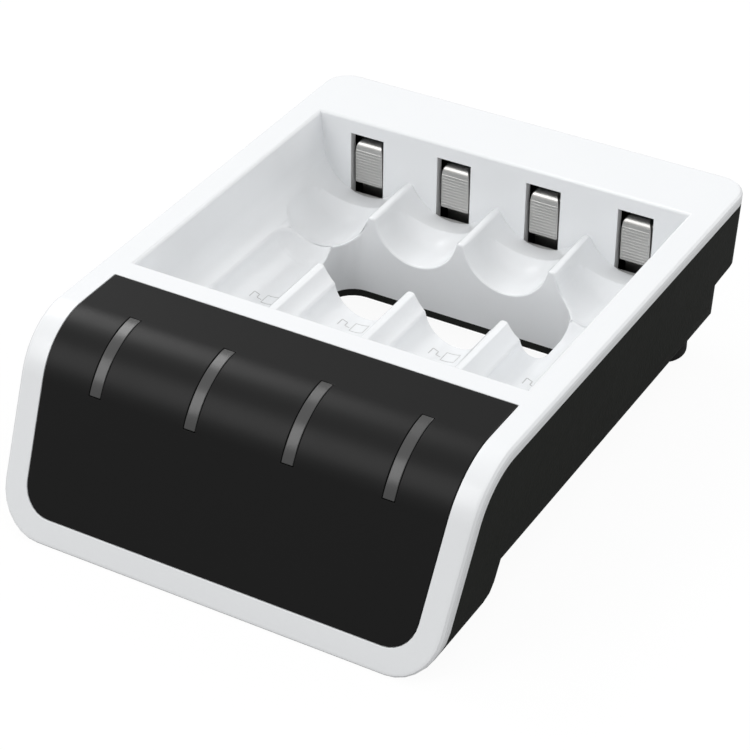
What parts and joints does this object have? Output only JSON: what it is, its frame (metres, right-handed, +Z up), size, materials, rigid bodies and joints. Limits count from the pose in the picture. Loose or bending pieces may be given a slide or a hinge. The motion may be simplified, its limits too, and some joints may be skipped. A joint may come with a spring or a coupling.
{
  "type": "battery charger",
  "caption": "Desktop charger for round cells: white cover with open slots and a finger opening, black base, glossy front panel with light bars, and sprung contacts.",
  "frame": {"origin": "standing surface under the middle of the housing", "axes": "+X to the right seen from the front panel, +Y to the back, +Z up"},
  "size_m": [0.074, 0.1002, 0.0285],
  "materials": {
    "cover_white": "satin moulded plastic",
    "base_black": "fine moulded grain",
    "panel_black": "polished",
    "light_guide": "translucent grey",
    "contact_nickel": "nickel plated strip",
    "foot_rubber": "matt",
    "board_green": "solder mask",
    "chip_black": "moulded package",
    "led_body": "clear cast lens",
    "choke_ferrite": "ferrite",
    "capacitor_can": "drawn can",
    "rail_black": "moulded",
    "socket_steel": "tinned shell",
    "screw_steel": "zinc plated"
  },
  "bodies": {
    "housing": {"top_cover": "cover_white", "front_panel": "panel_black", "light_bar_1": "light_guide", "light_bar_2": "light_guide", "light_bar_3": "light_guide", "light_bar_4": "light_guide", "base_shell": "base_black", "rear_foot_left": "foot_rubber", "rear_foot_right": "foot_rubber", "circuit_board": "board_green", "led_1": "led_body", "led_2": "led_body", "led_3": "led_body", "led_4": "led_body", "charge_controller": "chip_black", "channel_transistor_1": "chip_black", "channel_transistor_2": "chip_black", "channel_transistor_3": "chip_black", "channel_transistor_4": "chip_black", "choke": "choke_ferrite", "capacitor_1": "capacitor_can", "capacitor_2": "capacitor_can", "inlet_socket": "socket_steel", "inlet_tongue": "rail_black", "contact_rail_left": "rail_black", "contact_rail_right": "rail_black", "front_contact_1": "contact_nickel", "front_contact_2": "contact_nickel", "front_contact_3": "contact_nickel", "front_contact_4": "contact_nickel", "housing_screws": "screw_steel", "board_screws": "screw_steel"},
    "leaf_1": {"rear_contact_1": "contact_nickel"},
    "leaf_2": {"rear_contact_2": "contact_nickel"},
    "leaf_3": {"rear_contact_3": "contact_nickel"},
    "leaf_4": {"rear_contact_4": "contact_nickel"}
  },
  "joints": [
    {"name": "leaf_1_swing", "type": "hinge", "parent": "housing", "child": "leaf_1", "pos_m": [-0.0237, 0.03972, 0.0106], "axis": [-1, 0, 0], "range_deg": [0, 6], "stiffness_Nm_per_rad": 0.2, "springref_deg": -1.72},
    {"name": "leaf_2_swing", "type": "hinge", "parent": "housing", "child": "leaf_2", "pos_m": [-0.0079, 0.03972, 0.0106], "axis": [-1, 0, 0], "range_deg": [0, 6], "stiffness_Nm_per_rad": 0.2, "springref_deg": -1.72},
    {"name": "leaf_3_swing", "type": "hinge", "parent": "housing", "child": "leaf_3", "pos_m": [0.0079, 0.03972, 0.0106], "axis": [-1, 0, 0], "range_deg": [0, 6], "stiffness_Nm_per_rad": 0.2, "springref_deg": -1.72},
    {"name": "leaf_4_swing", "type": "hinge", "parent": "housing", "child": "leaf_4", "pos_m": [0.0237, 0.03972, 0.0106], "axis": [-1, 0, 0], "range_deg": [0, 6], "stiffness_Nm_per_rad": 0.2, "springref_deg": -1.72}
  ]
}
